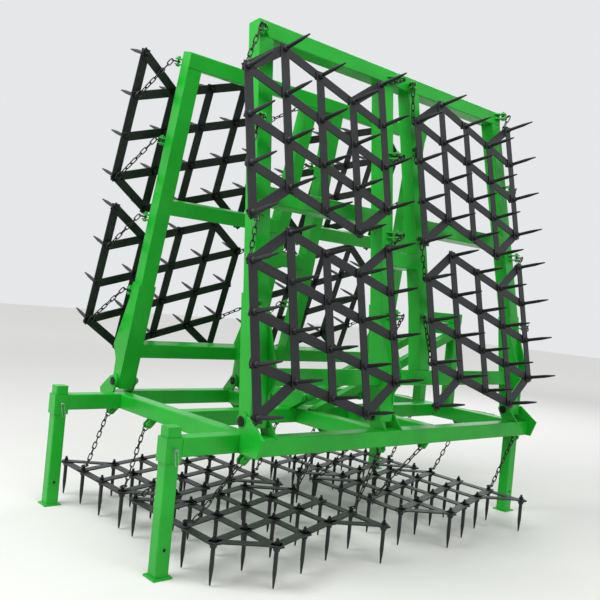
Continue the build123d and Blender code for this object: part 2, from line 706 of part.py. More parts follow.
# Every piece is written under its own name
pieces = {
    "centre_spine": centre_spine,
    "rear_arms": rear_arms,
    "leg_sleeves": leg_sleeves,
    "hinge_pins": hinge_pins,
    "centre_lugs": centre_lugs,
    "centre_chains": centre_chains,
    "cylinder_brackets": cylinder_brackets,
    "mast": mast,
    "mast_crossbar": mast_crossbar,
    "mast_braces": mast_braces,
    "top_link_bracket": top_link_bracket,
    "lower_link_brackets": lower_link_brackets,
}
pieces.update({name + "_cross_beam": piece for name, piece in cross_beams.items()})
pieces.update({"leg_" + name: piece for name, piece in legs.items()})
pieces.update({"centre_section_" + name: piece for name, piece in centre_sections.items()})
for side in SIDES:
    pieces["side_bar_" + side] = side_bars[side]
    pieces["hinge_ears_" + side] = ears[side]
    pieces["cylinder_barrel_" + side] = barrels[side]
    pieces["cylinder_rod_" + side] = rods[side]
    for name, piece in wings[side].items():
        pieces["wing_" + side + "_" + name] = piece

os.makedirs("parts", exist_ok=True)
for name, piece in pieces.items():
    piece.part.label = name
    export_step(piece.part, "parts/" + name + ".step")
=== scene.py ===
import json
import math

import bpy
import numpy as np
from mathutils import Matrix, Vector


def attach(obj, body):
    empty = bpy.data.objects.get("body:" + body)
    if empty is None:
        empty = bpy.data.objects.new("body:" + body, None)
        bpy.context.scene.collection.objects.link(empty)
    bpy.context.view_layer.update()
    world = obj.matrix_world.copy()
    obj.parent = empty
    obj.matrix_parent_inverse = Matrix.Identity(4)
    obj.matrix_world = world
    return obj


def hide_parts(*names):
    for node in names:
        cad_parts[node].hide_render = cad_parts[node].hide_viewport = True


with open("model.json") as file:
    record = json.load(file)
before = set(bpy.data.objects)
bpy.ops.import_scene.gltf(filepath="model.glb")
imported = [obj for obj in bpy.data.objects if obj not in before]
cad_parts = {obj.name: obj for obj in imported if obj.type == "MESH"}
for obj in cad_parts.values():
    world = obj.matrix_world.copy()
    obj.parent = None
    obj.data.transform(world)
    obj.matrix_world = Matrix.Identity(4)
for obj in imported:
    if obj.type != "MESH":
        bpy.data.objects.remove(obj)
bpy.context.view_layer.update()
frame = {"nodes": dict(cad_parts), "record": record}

bl_info = {
    "name": "Folded grassland harrow",
    "version": (1, 0, 0),
    "blender": (4, 5, 0),
    "location": "View3D > Sidebar > Harrow",
    "description": "Dresses the folded grassland harrow: paint, forged sections, chains and fittings",
    "category": "Object",
}

# Places repeat the solids' own, in metres; y is counted from the rear hinges and shifted by DATUM_Y
SIDES = {"right": 1, "left": -1}
LEANS = {"right": 6.9, "left": 13.6}
DATUM_Y = -1.101
HINGE_X = 0.748
HINGE_Z = 0.795
HINGE_Y = (0.012, 1.028, 2.457)
FRAME_TOP = 0.720
FRAME_BOTTOM = 0.620
TUBE = 0.100
# Along a hinge pin from its middle: the outer ears' faces and the pin's ends
EAR_FACE = 0.078
PIN_END = 0.084

SECTION_BARS = 5
BAR_TINES = 4
TINE_PITCH = 0.270
BAR_PITCH = 0.265
FLAT_THICK = 0.008
FLAT_EDGE = 0.0012
SECTION_TILT = 4.7
SECTION_REACH = TINE_PITCH * (BAR_TINES - 1)
BAR_HEIGHT = 0.219
# How far along each bar stands, in tine pitches, and which tines its flats join to the next bar's
STAGGER = (0, 2 / 3, 1 / 3, 0, 2 / 3)
RISING = ((2, 1), (3, 2), (4, 3), (1, 1), (4, 4))
LEVEL = ((1, 1), (2, 2), (3, 3), (4, 4))
SECTION_LINKS = (RISING, LEVEL, LEVEL, RISING)
# Sections of a folded wing: name, y of the first bar, reach of its top tine, distance out there
WING_SECTIONS = {
    "right": (
        ("rear_inner", -0.170, 0.845, 0.203),
        ("rear_outer", -0.175, 1.905, 0.134),
        ("front_inner", 1.255, 0.875, 0.203),
        ("front_outer", 1.225, 1.922, 0.134),
    ),
    "left": (
        ("rear_inner", -0.215, 1.160, 0.192),
        ("rear_outer", -0.250, 2.170, 0.146),
        ("front_inner", 1.195, 1.160, 0.192),
        ("front_outer", 1.160, 2.170, 0.146),
    ),
}
# Sections under the frame: name, x of the first tine, y of the first bar
CENTRE_SECTIONS = (
    ("rear_left", -0.875, -0.295),
    ("rear_right", 0.103, -0.295),
    ("front_left", -0.875, 1.115),
    ("front_right", 0.103, 1.115),
)
# Lugs stand at 45 degrees: reach of the bolt, half the lug along it, shift of the root on its post
LUG_REACH = 0.050
LUG_HALF = 0.021
LUG_SHIFT = 0.018
LUG_SLANT = math.sqrt(0.5)
# Cheeks of a lug: radius round the bolt, root inside the tube, inner and outer face, broken edge
CHEEK_RADIUS = 0.023
CHEEK_ROOT = -0.026
CHEEK_INNER = 0.0127
CHEEK_OUTER = LUG_HALF + 0.0003
CHEEK_EDGE = 0.0008
BOLT_RADIUS = 0.008
STUD_RADIUS = 0.0078
# Chains: inside width of a link and a shackle, the shackle's inside length, its play and its place
LINK_INSIDE = 0.014
SHACKLE_INSIDE = 0.025
SHACKLE_LENGTH = 0.048
SHACKLE_PLAY = 0.0008
SHACKLE_HEIGHT = 0.034
# The wire is drawn a little thinner than its stock, so that neighbouring links stay apart
WIRE_SHARE = 0.96
# A wing's chain holds the first tine that lies at least this far below its lug
CHAIN_DROP = 0.075
CENTRE_LUG_X = (-0.770, -0.250, 0.250, 0.770)
# Lugs under the frame: y, the way they point, end of the frame, bar that they carry
CENTRE_LUG_ROWS = (
    (-0.020, -1, "rear", 0),
    (0.998, 1, "rear", SECTION_BARS - 1),
    (1.474, -1, "front", 0),
    (2.489, 1, "front", SECTION_BARS - 1),
)
# Wing posts: y at the foot and the top, way of the lugs, end, bar carried, lugs along the wing
WING_POSTS = (
    (0.012, 0.012, -1, "rear", 0, (0.630, 1.147, 1.665, 2.180)),
    (1.028, 1.028, 1, "rear", SECTION_BARS - 1, (0.630, 1.147, 1.665, 2.180)),
    (1.400, 1.285, -1, "front", 0, (0.630, 1.147, 1.740, 2.180)),
    (2.457, 2.240, 1, "front", SECTION_BARS - 1, (0.630, 1.147, 1.665, 2.215)),
)
POST_BEND = 0.700
POST_TOP = 2.150
MID_BEAM = 1.250
# Folding cylinders: pin on the frame (x, z), eye on the wing (x, z), then places along the cylinder
CYLINDER_Y = 0.901
CYLINDER_BASE = (0.170, 0.815)
CYLINDER_EYE = (0.254, 0.112)
BARREL_START = 0.044
BARREL_LENGTH = 0.345
BARREL_END = BARREL_START + BARREL_LENGTH
BARREL_RADIUS = 0.035
# Distance of the two ports from the barrel's ends
PORT_INSETS = (0.030, 0.055)
LEG_X = 0.693
LEG_Y = (-0.466, 2.586)
SLEEVE_HALF = 0.047
LEG_HALF = 0.040
LEG_HOLE_HEIGHT = 0.150
LEG_HOLE_RADIUS = 0.0095
# Leg pins: depth below the frame's top, how far they stand out of the sleeve, radius and head's radius
LEG_PIN_DROP = 0.058
LEG_PIN_OUT = 0.0125
LEG_PIN_RADIUS = 0.0062
LEG_PIN_HEAD = 0.0090
# The clip and the handle on a leg pin's ends: wire, inside width, inside length, offset from the end
CLIP_WIRE, CLIP_INSIDE, CLIP_LENGTH = 0.0038, 0.020, 0.085
CLIP_OFFSET = (0.011, 0.004, -0.036)
HANDLE_WIRE, HANDLE_INSIDE, HANDLE_LENGTH = 0.0070, 0.022, 0.046
HANDLE_OFFSET = (-0.012, 0, -0.026)
# Outline of the plates on the side bars' ends, (x, z), and where they stand along the machine
END_PLATE = (
    (0.800, 0.828), (0.943, 0.727), (0.902, 0.619), (0.766, 0.619), (0.766, 0.726), (0.722, 0.770),
)
END_PLATE_Y = ((-0.0655, -0.0500), (2.5236, 2.5345))
END_PLATE_EDGE = 0.001

# A forged tine from its tip up: (share of its reach, radius), then (depth below the flat, radius)
TINE_POINT = ((1.0, 0.0022), (0.985, 0.0046), (0.62, 0.0114))
TINE_SHOULDER = ((0.0200, 0.0120), (0.0185, 0.0165), (0.0110, 0.0188), (0, 0.0194))
# Fittings: (height, radius) steps, counted from the face or the end that they sit on
TINE_WASHER = ((0, 0.0150), (0.0025, 0.0150))
TINE_NUT = ((0.0025, 0.0125), (0.0035, 0.0135), (0.0150, 0.0135), (0.0162, 0.0122))
TINE_STUD = ((0.0100, STUD_RADIUS), (0.0285, STUD_RADIUS), (0.0295, 0.0066))
LUG_WASHER = ((0, 0.0155), (0.0022, 0.0155))
LUG_BOLT_HEAD = ((0.0022, 0.0138), (0.0085, 0.0138), (0.0096, 0.0125))
LUG_BOLT_TIP = ((0.0090, 0.0078), (0.0150, 0.0078), (0.0160, 0.0068))
HINGE_WASHER = ((0, 0.0330), (0.0008, 0.0340), (0.0040, 0.0340), (0.0048, 0.0330))
HINGE_CAP = ((-0.0012, 0.0285), (0.0030, 0.0290), (0.0052, 0.0275), (0.0060, 0.0150), (0.0066, 0.0140))
HINGE_NUT = ((-0.0012, 0.0275), (0.0140, 0.0275), (0.0160, 0.0250))
HINGE_THREAD = ((0.0150, 0.0148), (0.0230, 0.0148), (0.0245, 0.0132))
GLAND = (
    (-0.0300, BARREL_RADIUS + 0.0005), (-0.0290, BARREL_RADIUS + 0.0035),
    (-0.0020, BARREL_RADIUS + 0.0035), (0.0010, BARREL_RADIUS + 0.0010),
    (0.0012, 0.0215), (0.0050, 0.0200), (0.0052, 0.0172),
)
FOOT_RING = ((-0.0040, 0.0300), (0.0010, BARREL_RADIUS + 0.0005), (0.0140, BARREL_RADIUS + 0.0015))
# A port's boss and union, from the middle of the barrel outwards
PORT_BOSS = ((0.0300, 0.0130), (0.0430, 0.0130), (0.0445, 0.0118))
PORT_UNION = (
    (0.0445, 0.0100), (0.0455, 0.0108), (0.0560, 0.0108), (0.0570, 0.0098),
    (0.0571, 0.0074), (0.0700, 0.0074), (0.0702, 0.0060),
)

# The photograph's camera: place, heading, rise and roll, worked out from the machine's straight lines
CAMERA_PLACE = (3.9568, -3.6068, 1.4833)
CAMERA_HEADING = 0.8585
CAMERA_RISE = -0.0024
CAMERA_ROLL = 0.0946
CAMERA_LENS = 44.87
CAMERA_SENSOR = 36.0

# The studio: how much the floor glows to the eye near and far, and what the backdrop gives and shows
FLOOR_SIZE = 60.0
FLOOR_COLOUR = "#D9D9D6"
FLOOR_GLOW = (0.08, 0.50)
FLOOR_GLOW_REACH = (2.0, 16.0)
BACKDROP_COLOUR = "#EEF0F2"
BACKDROP_LIGHT = 0.48
BACKDROP_SEEN = 0.92
# Lamps: name, place, aim, size in metres, watts
LAMPS = (
    ("key", (-1.2, -5.5, 7.5), (0.0, 0.0, 1.0), 4.5, 560.0),
    ("fill", (5.5, -1.5, 7.0), (0.0, 0.0, 1.8), 5.0, 300.0),
    ("rim", (-3.0, 6.5, 6.0), (0.0, 0.0, 1.4), 5.0, 260.0),
)

# Colour of the dust on the enamel, and how much of it a speck lays over the paint
DUST_COLOUR = "#8FA882"
DUST_SHARE = 0.09


class HarrowFinish(bpy.types.PropertyGroup):
    """Colours of the harrow's finishes."""

    green: bpy.props.StringProperty(
        name="Enamel", description="Leaf green enamel of the frame", default="#17B22B")
    green_deep: bpy.props.StringProperty(
        name="Enamel, thick", description="The enamel where it is thicker", default="#13A325")
    black: bpy.props.StringProperty(
        name="Section paint", description="Satin black of the harrow sections", default="#0C0D10")
    black_worn: bpy.props.StringProperty(
        name="Section paint, rubbed", description="The black where it is rubbed", default="#1B1C20")
    zinc: bpy.props.StringProperty(
        name="Zinc", description="Zinc plating of the fasteners", default="#B4B7BA")


class HarrowSizes(bpy.types.PropertyGroup):
    """Sizes of the small pieces."""

    link_length: bpy.props.FloatProperty(
        name="Chain pitch", description="About the inside length of a chain link", default=0.044,
        unit="LENGTH")
    link_stock: bpy.props.FloatProperty(
        name="Chain wire", description="Thickness of a link's round wire", default=0.008, unit="LENGTH")
    tine_length: bpy.props.FloatProperty(
        name="Tine", description="Reach of a tine below its bar", default=0.210, unit="LENGTH")
    flat_width: bpy.props.FloatProperty(
        name="Flat", description="Width of the sections' flat bars", default=0.058, unit="LENGTH")


def linear(code):
    """A #rrggbb colour in linear numbers."""
    parts = [int(code[start:start + 2], 16) / 255 for start in (1, 3, 5)]
    return tuple(c / 12.92 if c <= 0.04045 else ((c + 0.055) / 1.055) ** 2.4 for c in parts) + (1.0,)


def add_node(tree, kind, settings=None, links=None):
    """Adds a shader node with its settings, by attribute or socket name, and its links."""
    made = tree.nodes.new(kind)
    for name, value in (settings or {}).items():
        if hasattr(made, name):
            setattr(made, name, value)
        else:
            made.inputs[name].default_value = value
    for name, source in (links or {}).items():
        tree.links.new(source, made.inputs[name])
    return made


def new_material(name):
    """A material with an empty node tree; gives both."""
    material = bpy.data.materials.new(name)
    material.use_nodes = True
    material.node_tree.nodes.clear()
    return material, material.node_tree


def finish_material(tree, shader):
    """Joins the shader to the material's output."""
    add_node(tree, "ShaderNodeOutputMaterial", links={"Surface": shader.outputs[0]})


def mottled(tree, coords, scale, low, high, detail=4.0):
    """A soft noise on Object coordinates, stretched between two stops."""
    noise = add_node(tree, "ShaderNodeTexNoise", {"Scale": scale, "Detail": detail},
                     {"Vector": coords.outputs["Object"]})
    return add_node(tree, "ShaderNodeMapRange", {"From Min": low, "From Max": high},
                    {"Value": noise.outputs["Fac"]})


def leaf_green_enamel(finish):
    """Sprayed and baked enamel on steel tube: glossy, with faint orange peel and a film of dust."""
    material, tree = new_material("leaf_green_enamel")
    coords = add_node(tree, "ShaderNodeTexCoord")
    # The film is a little thicker in patches about 25 cm across
    patches = mottled(tree, coords, 4.0, 0.35, 0.65)
    colour = add_node(tree, "ShaderNodeMix", {"data_type": "RGBA"}, {"Factor": patches.outputs[0]})
    colour.inputs["A"].default_value = linear(finish.green)
    colour.inputs["B"].default_value = linear(finish.green_deep)
    # Dust lies in specks of 2 to 5 mm and dulls the gloss
    dust = mottled(tree, coords, 60.0, 0.58, 0.75, 6.0)
    dusty = add_node(tree, "ShaderNodeMix", {"data_type": "RGBA"}, {"A": colour.outputs["Result"]})
    dusty.inputs["B"].default_value = linear(DUST_COLOUR)
    thin = add_node(tree, "ShaderNodeMath", {"operation": "MULTIPLY"}, {0: dust.outputs[0]})
    thin.inputs[1].default_value = DUST_SHARE
    tree.links.new(thin.outputs[0], dusty.inputs["Factor"])
    gloss = add_node(tree, "ShaderNodeMapRange", {"To Min": 0.30, "To Max": 0.52},
                     {"Value": dust.outputs[0]})
    # Orange peel of sprayed paint, drawn at 3 mm so that it shows
    peel = add_node(tree, "ShaderNodeTexNoise", {"Scale": 330.0, "Detail": 2.0},
                    {"Vector": coords.outputs["Object"]})
    edges = add_node(tree, "ShaderNodeBevel", {"samples": 4, "Radius": 0.004})
    bump = add_node(tree, "ShaderNodeBump", {"Strength": 0.06, "Distance": 0.001},
                    {"Height": peel.outputs["Fac"], "Normal": edges.outputs[0]})
    shader = add_node(
        tree, "ShaderNodeBsdfPrincipled", {"IOR": 1.40, "Coat Weight": 0.06, "Coat Roughness": 0.15},
        {"Base Color": dusty.outputs["Result"], "Roughness": gloss.outputs[0],
         "Normal": bump.outputs[0]})
    finish_material(tree, shader)
    return material


def satin_black_paint(finish):
    """Dipped black paint on hot-rolled flats: satin, greyer where soil and stacking rubbed it."""
    material, tree = new_material("satin_black_paint")
    coords = add_node(tree, "ShaderNodeTexCoord")
    rubbed = mottled(tree, coords, 22.0, 0.50, 0.78, 8.0)
    colour = add_node(tree, "ShaderNodeMix", {"data_type": "RGBA"}, {"Factor": rubbed.outputs[0]})
    colour.inputs["A"].default_value = linear(finish.black)
    colour.inputs["B"].default_value = linear(finish.black_worn)
    gloss = add_node(tree, "ShaderNodeMapRange", {"To Min": 0.42, "To Max": 0.62},
                     {"Value": rubbed.outputs[0]})
    # Mill scale under the paint, about 4 mm across
    scale_marks = add_node(tree, "ShaderNodeTexNoise", {"Scale": 240.0, "Detail": 3.0},
                           {"Vector": coords.outputs["Object"]})
    edges = add_node(tree, "ShaderNodeBevel", {"samples": 4, "Radius": 0.0015})
    bump = add_node(tree, "ShaderNodeBump", {"Strength": 0.12, "Distance": 0.001},
                    {"Height": scale_marks.outputs["Fac"], "Normal": edges.outputs[0]})
    shader = add_node(
        tree, "ShaderNodeBsdfPrincipled", {"IOR": 1.5},
        {"Base Color": colour.outputs["Result"], "Roughness": gloss.outputs[0],
         "Normal": bump.outputs[0]})
    finish_material(tree, shader)
    return material


def worn_metal(name, bright, dull, roughness, scale, metallic=1.0):
    """Bare or plated metal with duller patches: chain steel, zinc, chrome or blackened pins."""
    material, tree = new_material(name)
    coords = add_node(tree, "ShaderNodeTexCoord")
    patches = mottled(tree, coords, scale, 0.40, 0.66, 6.0)
    colour = add_node(tree, "ShaderNodeMix", {"data_type": "RGBA"}, {"Factor": patches.outputs[0]})
    colour.inputs["A"].default_value = linear(bright)
    colour.inputs["B"].default_value = linear(dull)
    gloss = add_node(tree, "ShaderNodeMapRange",
                     {"To Min": roughness, "To Max": min(1.0, roughness + 0.18)},
                     {"Value": patches.outputs[0]})
    shader = add_node(tree, "ShaderNodeBsdfPrincipled", {"Metallic": metallic},
                      {"Base Color": colour.outputs["Result"], "Roughness": gloss.outputs[0]})
    finish_material(tree, shader)
    return material


# The finishes by short name, filled by the paint operator
MATERIALS = {}


def clear_selection():
    """Leaves nothing selected, so that an operator acts on its own piece alone."""
    bpy.ops.object.select_all(action="DESELECT")


def take_shape():
    """The active object's vertices and faces; the object itself is deleted."""
    made = bpy.context.object
    points = np.array([vertex.co[:] for vertex in made.data.vertices])
    faces = [tuple(face.vertices) for face in made.data.polygons]
    bpy.data.objects.remove(made)
    return points, faces


def placed(shape, matrix):
    """A shape's copy, moved by a 4x4 matrix."""
    points, faces = shape
    turned = points @ np.array(matrix.to_3x3()).T + np.array(matrix.translation)
    return turned, faces


def frame_matrix(origin, x_dir, z_dir):
    """A matrix that takes x and z to the given directions and the origin to the given point."""
    z_dir = Vector(z_dir).normalized()
    x_dir = Vector(x_dir)
    x_dir = (x_dir - z_dir * x_dir.dot(z_dir)).normalized()
    y_dir = z_dir.cross(x_dir)
    turn = Matrix((x_dir, y_dir, z_dir)).transposed().to_4x4()
    turn.translation = Vector(origin)
    return turn


def make_piece(name, shapes, material, body, smooth=30.0, stands_for=()):
    """Joins shapes into one piece that rides on a body."""
    points = []
    faces = []
    start = 0
    for shape_points, shape_faces in shapes:
        points.append(shape_points)
        faces += [tuple(index + start for index in face) for face in shape_faces]
        start += len(shape_points)
    mesh = bpy.data.meshes.new(name)
    mesh.from_pydata(np.concatenate(points).tolist(), [], faces)
    mesh.update()
    piece = bpy.data.objects.new(name, mesh)
    bpy.context.scene.collection.objects.link(piece)
    clear_selection()
    piece.select_set(True)
    bpy.context.view_layer.objects.active = piece
    bpy.ops.object.mode_set(mode="EDIT")
    bpy.ops.mesh.select_all(action="SELECT")
    bpy.ops.mesh.normals_make_consistent(inside=False)
    bpy.ops.object.mode_set(mode="OBJECT")
    bpy.ops.object.shade_smooth_by_angle(angle=math.radians(smooth))
    mesh.materials.append(MATERIALS[material])
    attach(piece, body)
    if stands_for:
        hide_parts(*stands_for)
    return piece


def turned_shape(profile, sides, base=0.0):
    """A turned or forged shape from (height, radius) steps above a base, closed at both ends."""
    clear_selection()
    steps = [(base + height, radius) for height, radius in profile]
    height, radius = steps[0]
    bpy.ops.mesh.primitive_circle_add(vertices=sides, radius=radius, fill_type="NGON",
                                      location=(0, 0, 0))
    bpy.ops.object.mode_set(mode="EDIT")
    bpy.ops.mesh.select_all(action="SELECT")
    bpy.ops.transform.translate(value=(0, 0, height))
    for (low, thin), (high, thick) in zip(steps, steps[1:]):
        bpy.ops.mesh.extrude_region_move(TRANSFORM_OT_translate={"value": (0, 0, high - low)})
        grow = thick / thin
        bpy.ops.transform.resize(value=(grow, grow, 1))
    bpy.ops.mesh.select_all(action="SELECT")
    bpy.ops.mesh.normals_make_consistent(inside=False)
    bpy.ops.object.mode_set(mode="OBJECT")
    return take_shape()


def box_shape(size, edge):
    """A bar blank with broken edges, centred on the origin."""
    clear_selection()
    bpy.ops.mesh.primitive_cube_add(size=1, location=(0, 0, 0))
    bpy.ops.object.mode_set(mode="EDIT")
    bpy.ops.mesh.select_all(action="SELECT")
    bpy.ops.transform.resize(value=size)
    bpy.ops.mesh.bevel(offset=edge, segments=1, affect="EDGES")
    bpy.ops.object.mode_set(mode="OBJECT")
    return take_shape()


def plate_shape(outline, low, high, edge):
    """A cut plate with broken edges: its outline in x and y, its faces at two heights."""
    clear_selection()
    bpy.ops.mesh.primitive_circle_add(vertices=len(outline), radius=1, fill_type="NGON",
                                      location=(0, 0, 0))
    for vertex, (x, y) in zip(bpy.context.object.data.vertices, outline):
        vertex.co = (x, y, low)
    bpy.ops.object.mode_set(mode="EDIT")
    bpy.ops.mesh.select_all(action="SELECT")
    bpy.ops.mesh.extrude_region_move(TRANSFORM_OT_translate={"value": (0, 0, high - low)})
    bpy.ops.mesh.select_all(action="SELECT")
    bpy.ops.mesh.normals_make_consistent(inside=False)
    bpy.ops.mesh.bevel(offset=edge, segments=1, affect="EDGES")
    bpy.ops.object.mode_set(mode="OBJECT")
    return take_shape()


def wing_matrix(side):
    """The frame of a wing at its hinge: x and z as they lie when the wing is level."""
    sign = SIDES[side]
    turn = math.radians(90 + LEANS[side])
    return frame_matrix((sign * HINGE_X, DATUM_Y, HINGE_Z),
                        (math.cos(turn), 0, sign * math.sin(turn)),
                        (-sign * math.sin(turn), 0, math.cos(turn)))


def section_matrices():
    """Each section node's name, body and frame at its first tine."""
    found = []
    for name, x, y in CENTRE_SECTIONS:
        place = Matrix.Translation((x, y + DATUM_Y, BAR_HEIGHT))
        found.append(("centre_section_" + name, "frame", place))
    for side, sign in SIDES.items():
        wing = wing_matrix(side)
        drop_out = SECTION_REACH * math.tan(math.radians(SECTION_TILT))
        for name, y, top_tine, out in WING_SECTIONS[side]:
            first = (top_tine - SECTION_REACH, y, -out - drop_out) if sign > 0 else (-top_tine, y, -out)
            tilt = Matrix.Rotation(math.radians(-sign * SECTION_TILT), 4, "Y")
            place = wing @ Matrix.Translation(first) @ tilt
            found.append(("wing_%s_section_%s" % (side, name), "wing_" + side, place))
    return found


def tine_places():
    """The tines of one section in its own frame, as (x, y)."""
    return [(TINE_PITCH * (shift + number), BAR_PITCH * row)
            for row, shift in enumerate(STAGGER) for number in range(BAR_TINES)]


def lug_matrix(place, root, way):
    """The frame of a lug: x runs out of the post at 45 degrees, z along its bolt."""
    turn = place.to_3x3()
    return frame_matrix(place @ Vector(root), turn @ Vector((0, way * LUG_SLANT, -LUG_SLANT)),
                        turn @ Vector((way, 0, 0)))


def stud_place(section, bar, tine):
    """Where a shackle sits on a tine's stud, in a section that stands in the given frame."""
    return section @ Vector((TINE_PITCH * (STAGGER[bar] + tine), BAR_PITCH * bar, SHACKLE_HEIGHT))


def hangings():
    """Every lug with the stud that its chain holds: node, body, lug frame, section frame, stud."""
    sections = {node: place for node, _, place in section_matrices()}
    found = []
    for y, way, end, bar in CENTRE_LUG_ROWS:
        for x in CENTRE_LUG_X:
            lug = lug_matrix(Matrix.Translation((0, DATUM_Y, 0)), (x, y, FRAME_BOTTOM), way)
            section = sections["centre_section_%s_%s" % (end, "right" if x > 0 else "left")]
            studs = [stud_place(section, bar, tine) for tine in range(BAR_TINES)]
            # The chain takes a stud near its lug, and rather one towards the machine's middle
            stud = min(studs, key=lambda point: abs(point.x) + 2 * abs(abs(point.x) - abs(x)))
            found.append(("centre_chains", "frame", lug, section, stud))
    for side, sign in SIDES.items():
        wing = wing_matrix(side)
        top_tines = {name: top_tine for name, _, top_tine, _ in WING_SECTIONS[side]}
        for foot_y, top_y, way, end, bar, stations in WING_POSTS:
            for station in stations:
                share = max(0.0, station - POST_BEND) / (POST_TOP - POST_BEND)
                y = foot_y + (top_y - foot_y) * share + way * LUG_SHIFT
                lug = lug_matrix(wing, (sign * station, y, -TUBE / 2), way)
                name = end + ("_inner" if station < MID_BEAM else "_outer")
                section = sections["wing_%s_section_%s" % (side, name)]
                highest = top_tines[name] + sign * STAGGER[bar] * TINE_PITCH
                number = next(n for n in range(BAR_TINES)
                              if highest - TINE_PITCH * n <= station - CHAIN_DROP)
                tine = BAR_TINES - 1 - number if sign > 0 else number
                stud = stud_place(section, bar, tine)
                found.append(("wing_%s_chains" % side, "wing_" + side, lug, section, stud))
    return found


def turn_between(first, second, axis):
    """The angle about an axis from one direction to another."""
    first = (first - axis * first.dot(axis)).normalized()
    second = (second - axis * second.dot(axis)).normalized()
    return math.atan2(axis.dot(first.cross(second)), first.dot(second))


def link_shape(stock, across):
    """One round-wire ring, to be drawn out into a link."""
    clear_selection()
    bpy.ops.mesh.primitive_torus_add(major_segments=16, minor_segments=8,
                                     major_radius=(across + stock) / 2, minor_radius=stock / 2)
    return take_shape()


def drawn_link(ring, inside, across):
    """A ring drawn out to a link of the given inside length."""
    points, faces = ring
    points = points.copy()
    halves = np.where(np.abs(points[:, 0]) < 1e-6, 0, np.sign(points[:, 0]))
    points[:, 0] += halves * (inside - across) / 2
    return points, faces


def shackle_place(pin, radius, toward, axis, stock):
    """A shackle's frame on a round pin, and the middle of the wire at the shackle's far end."""
    way = (toward - axis * toward.dot(axis)).normalized()
    seat = radius + SHACKLE_PLAY
    place = frame_matrix(pin + way * (SHACKLE_LENGTH / 2 - seat), way, axis)
    return place, pin + way * (SHACKLE_LENGTH - seat + stock / 2)


class HARROW_OT_paint(bpy.types.Operator):
    """Paints the solids: enamel, black sections, steel and chrome"""

    bl_idname = "harrow.paint"
    bl_label = "Paint"

    def execute(self, context):
        finish = context.scene.harrow_finish
        MATERIALS["green"] = leaf_green_enamel(finish)
        MATERIALS["black"] = satin_black_paint(finish)
        # Self-coloured chain steel, oiled and dark
        MATERIALS["chain"] = worn_metal("oiled_chain_steel", "#3B3A38", "#232220", 0.38, 60.0, 0.85)
        # Electroplated zinc, grey with white bloom
        MATERIALS["zinc"] = worn_metal("zinc_plating", finish.zinc, "#8D9094", 0.30, 90.0)
        MATERIALS["pin"] = worn_metal("blackened_pin_steel", "#26262A", "#161617", 0.40, 70.0, 0.7)
        # Painted shade: the inside of a drilled hole, drawn as a near-black surface
        MATERIALS["dark"] = worn_metal("drilled_hole_shadow", "#0B0F0B", "#080A08", 0.70, 40.0, 0.0)
        MATERIALS["chrome"] = worn_metal("hard_chrome", "#DADCDE", "#C4C7CA", 0.10, 30.0)
        by_slot = {
            "green_paint": "green",
            "satin_black": "black",
            "chain_steel": "chain",
            "pin_steel": "pin",
            "chrome_rod": "chrome",
        }
        for subpart in frame["record"]["subparts"]:
            node = frame["nodes"][subpart["node"]]
            material = MATERIALS[by_slot[subpart["material_slot"]]]
            if node.material_slots:
                for place in node.material_slots:
                    place.material = material
            else:
                node.data.materials.append(material)
        return {"FINISHED"}


class HARROW_OT_sections(bpy.types.Operator):
    """Makes the twelve harrow sections: crossed flats, forged round tines, nuts and washers"""

    bl_idname = "harrow.sections"
    bl_label = "Harrow sections"

    def execute(self, context):
        sizes = context.scene.harrow_sizes
        wide = sizes.flat_width
        half = FLAT_THICK / 2
        reach = sizes.tine_length
        shapes = []
        rows = [(TINE_PITCH * shift, BAR_PITCH * row) for row, shift in enumerate(STAGGER)]
        bar_blank = box_shape((SECTION_REACH + wide, wide, FLAT_THICK), FLAT_EDGE)
        for x, y in rows:
            shapes.append(placed(bar_blank, Matrix.Translation((x + SECTION_REACH / 2, y, 0))))
        for row, links in enumerate(SECTION_LINKS):
            for near, far in links:
                start = Vector((rows[row][0] + TINE_PITCH * (near - 1), rows[row][1], FLAT_THICK))
                end = Vector((rows[row + 1][0] + TINE_PITCH * (far - 1), rows[row + 1][1], FLAT_THICK))
                run = end - start
                blank = box_shape((run.length + wide, wide, FLAT_THICK), FLAT_EDGE)
                place = frame_matrix((start + end) / 2, run, (0, 0, 1))
                shapes.append(placed(blank, place))
        # A forged tine: domed shoulder under the flat, even round shank, short point
        profile = [(-half - reach * share, radius) for share, radius in TINE_POINT]
        profile += [(-half - depth, radius) for depth, radius in TINE_SHOULDER]
        tine = turned_shape(profile, 12)
        for x, y in tine_places():
            shapes.append(placed(tine, Matrix.Translation((x, y, 0))))
        # Above the flats: the tine's threaded end with its washer and nut
        top = half + FLAT_THICK
        washer = turned_shape(TINE_WASHER, 18, top)
        nut = turned_shape(TINE_NUT, 6, top)
        stud = turned_shape(TINE_STUD, 12, top)
        fittings = []
        for x, y in tine_places():
            for shape in (washer, nut, stud):
                fittings.append(placed(shape, Matrix.Translation((x, y, 0))))
        studs = {}
        for node, body, place in section_matrices():
            make_piece(node + "_forged", [placed(shape, place) for shape in shapes], "black",
                       body, stands_for=(node,))
            studs.setdefault(body, []).extend(placed(shape, place) for shape in fittings)
        for body, parts in studs.items():
            make_piece(body + "_tine_nuts", parts, "pin", body)
        return {"FINISHED"}


